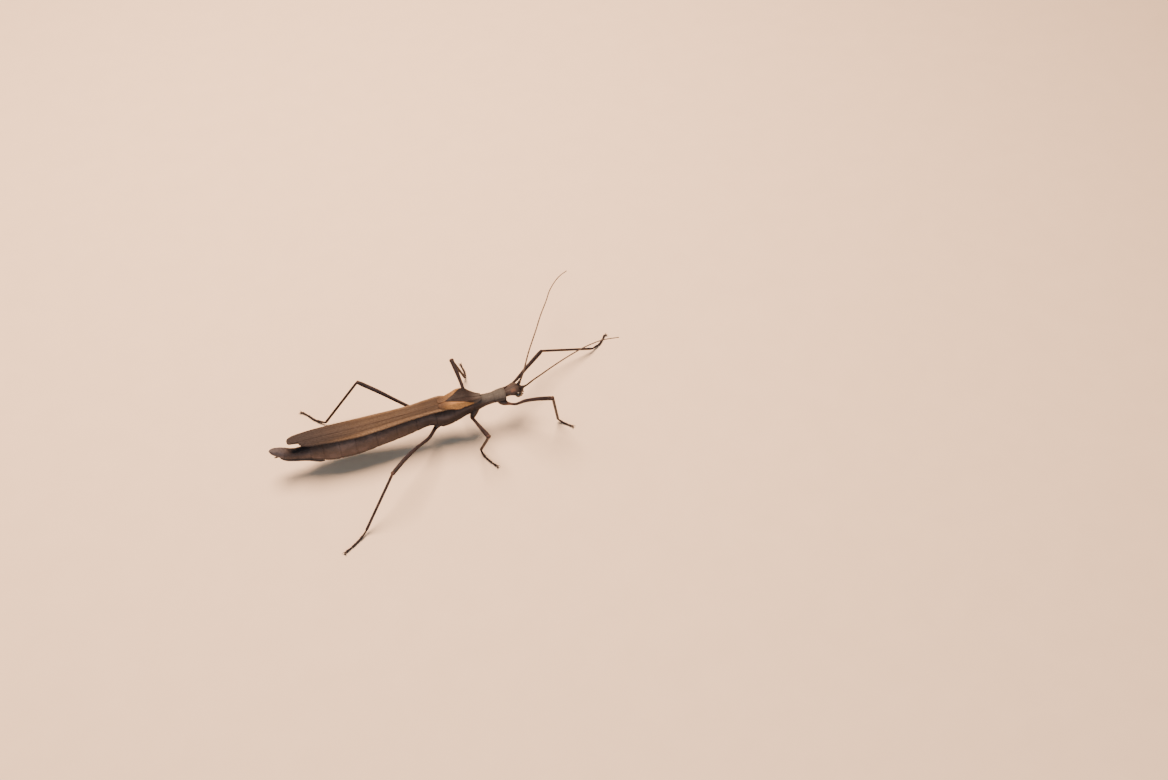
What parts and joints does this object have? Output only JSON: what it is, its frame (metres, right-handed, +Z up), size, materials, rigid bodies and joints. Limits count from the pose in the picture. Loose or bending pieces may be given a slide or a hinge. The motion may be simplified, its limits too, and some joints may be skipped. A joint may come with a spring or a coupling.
{
  "type": "stick insect",
  "caption": "Winged stick insect, a stout brown female with folded wings, long feelers and an upturned tail, standing on all its feet as a still museum model.",
  "frame": {"origin": "on the floor, at the middle of the insect's outline seen from above", "axes": "+X towards the head, +Y to the insect's left, +Z up"},
  "size_m": [0.0992, 0.0672, 0.0345],
  "materials": {
    "cuticle_thorax": "grey-brown insect cuticle, finely granulated, satin",
    "cuticle_abdomen": "near-black brown segmented cuticle, satin",
    "cuticle_head": "dark olive-brown cuticle with a red-brown midline",
    "wing": "mid brown folded membranous wing with darker lengthwise veins and a tan costal band",
    "tegmen": "leathery fore wing, near-black inside its ridge and orange-ochre outside it",
    "leg": "dark reddish-brown ridged leg cuticle, satin",
    "antenna": "pale brown segmented feeler with darker joints",
    "eye": "dark olive-grey faceted eye, glossy",
    "claw": "near-black polished claw"
  },
  "bodies": {
    "root": {"abdomen_base": "cuticle_abdomen", "abdomen_middle": "cuticle_abdomen", "abdomen_rear": "cuticle_abdomen", "abdomen_tip": "cuticle_abdomen", "antenna_left_base": "antenna", "antenna_left_tip": "antenna", "antenna_right_base": "antenna", "antenna_right_tip": "antenna", "cercus_left": "cuticle_abdomen", "cercus_right": "cuticle_abdomen", "claws_front_left": "claw", "claws_front_right": "claw", "claws_hind_left": "claw", "claws_hind_right": "claw", "claws_mid_left": "claw", "claws_mid_right": "claw", "coxa_front_left": "leg", "coxa_front_right": "leg", "coxa_hind_left": "leg", "coxa_hind_right": "leg", "coxa_mid_left": "leg", "coxa_mid_right": "leg", "eye_left": "eye", "eye_right": "eye", "femur_front_left": "leg", "femur_front_right": "leg", "femur_hind_left": "leg", "femur_hind_right": "leg", "femur_mid_left": "leg", "femur_mid_right": "leg", "head": "cuticle_head", "mesothorax": "cuticle_thorax", "metathorax": "cuticle_abdomen", "mouthparts": "cuticle_head", "operculum": "cuticle_abdomen", "palp_left": "leg", "palp_right": "leg", "prothorax": "cuticle_thorax", "scape_left": "antenna", "scape_right": "antenna", "tarsus_front_left": "leg", "tarsus_front_right": "leg", "tarsus_hind_left": "leg", "tarsus_hind_right": "leg", "tarsus_mid_left": "leg", "tarsus_mid_right": "leg", "tegmen_left": "tegmen", "tegmen_right": "tegmen", "tibia_front_left": "leg", "tibia_front_right": "leg", "tibia_hind_left": "leg", "tibia_hind_right": "leg", "tibia_mid_left": "leg", "tibia_mid_right": "leg", "wing_left": "wing", "wing_right": "wing"}
  },
  "joints": []
}
